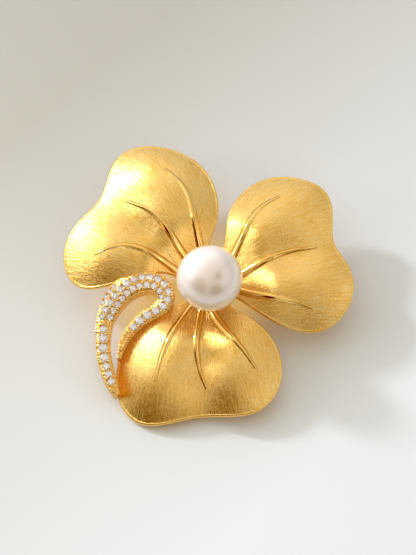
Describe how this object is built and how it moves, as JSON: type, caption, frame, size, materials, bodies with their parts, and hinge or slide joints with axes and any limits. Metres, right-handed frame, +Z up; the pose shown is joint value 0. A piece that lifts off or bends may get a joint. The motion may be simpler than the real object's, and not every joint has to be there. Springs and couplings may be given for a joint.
{
  "type": "brooch",
  "caption": "Flower brooch of satin gold-coloured metal: domed heart-shaped petals round a pearl, a stone-set tendril, and a hinged pin with a turning safety catch.",
  "frame": {"origin": "middle of the brooch's outline, on the table that it lies on", "axes": "+Z up, out of the front of the brooch; +X along the pin, from its hinge to its catch; +Y towards the two upper petals"},
  "size_m": [0.0462, 0.0464, 0.0171],
  "materials": {
    "brushed_gold": "satin, brushed along each petal's axis",
    "polished_gold": "polished",
    "fittings_gold": "polished, lightly worn",
    "pin_steel": "gilt spring steel, polished",
    "pearl": "nacre, glossy",
    "clear_stones": "faceted, polished"
  },
  "bodies": {
    "brooch": {"catch_housing": "fittings_gold", "catch_post": "fittings_gold", "hinge_bracket": "fittings_gold", "hinge_post": "fittings_gold", "hinge_rivet": "fittings_gold", "hub": "polished_gold", "pearl": "pearl", "pearl_cup": "polished_gold", "pearl_peg": "polished_gold", "petal_lower": "brushed_gold", "petal_right": "brushed_gold", "petal_upper_left": "brushed_gold", "stone_inner_01": "clear_stones", "stone_inner_02": "clear_stones", "stone_inner_03": "clear_stones", "stone_inner_04": "clear_stones", "stone_inner_05": "clear_stones", "stone_inner_06": "clear_stones", "stone_inner_07": "clear_stones", "stone_inner_08": "clear_stones", "stone_inner_09": "clear_stones", "stone_inner_10": "clear_stones", "stone_inner_11": "clear_stones", "stone_outer_01": "clear_stones", "stone_outer_02": "clear_stones", "stone_outer_03": "clear_stones", "stone_outer_04": "clear_stones", "stone_outer_05": "clear_stones", "stone_outer_06": "clear_stones", "stone_outer_07": "clear_stones", "stone_outer_08": "clear_stones", "stone_outer_09": "clear_stones", "stone_outer_10": "clear_stones", "stone_outer_11": "clear_stones", "stone_outer_12": "clear_stones", "stone_outer_13": "clear_stones", "stone_outer_14": "clear_stones", "stone_outer_15": "clear_stones", "stone_outer_16": "clear_stones", "stone_outer_17": "clear_stones", "stone_outer_18": "clear_stones", "stone_side_01": "clear_stones", "stone_side_02": "clear_stones", "stone_side_03": "clear_stones", "stone_side_04": "clear_stones", "stone_tail_01": "clear_stones", "stone_tail_02": "clear_stones", "stone_tail_03": "clear_stones", "stone_tail_04": "clear_stones", "stone_tail_05": "clear_stones", "stone_tail_06": "clear_stones", "stone_tail_07": "clear_stones", "tendril": "polished_gold"},
    "pin": {"pin_stem": "pin_steel"},
    "rotor": {"catch_rotor": "fittings_gold"}
  },
  "joints": [
    {"name": "pin_hinge", "type": "hinge", "parent": "brooch", "child": "pin", "pos_m": [-0.013, 0.0046, 0.002], "axis": [0, 1, 0], "range_deg": [0, 100]},
    {"name": "catch_turn", "type": "hinge", "parent": "brooch", "child": "rotor", "pos_m": [0.013, 0.0046, 0.002], "axis": [1, 0, 0], "range_deg": [0, 85]}
  ]
}
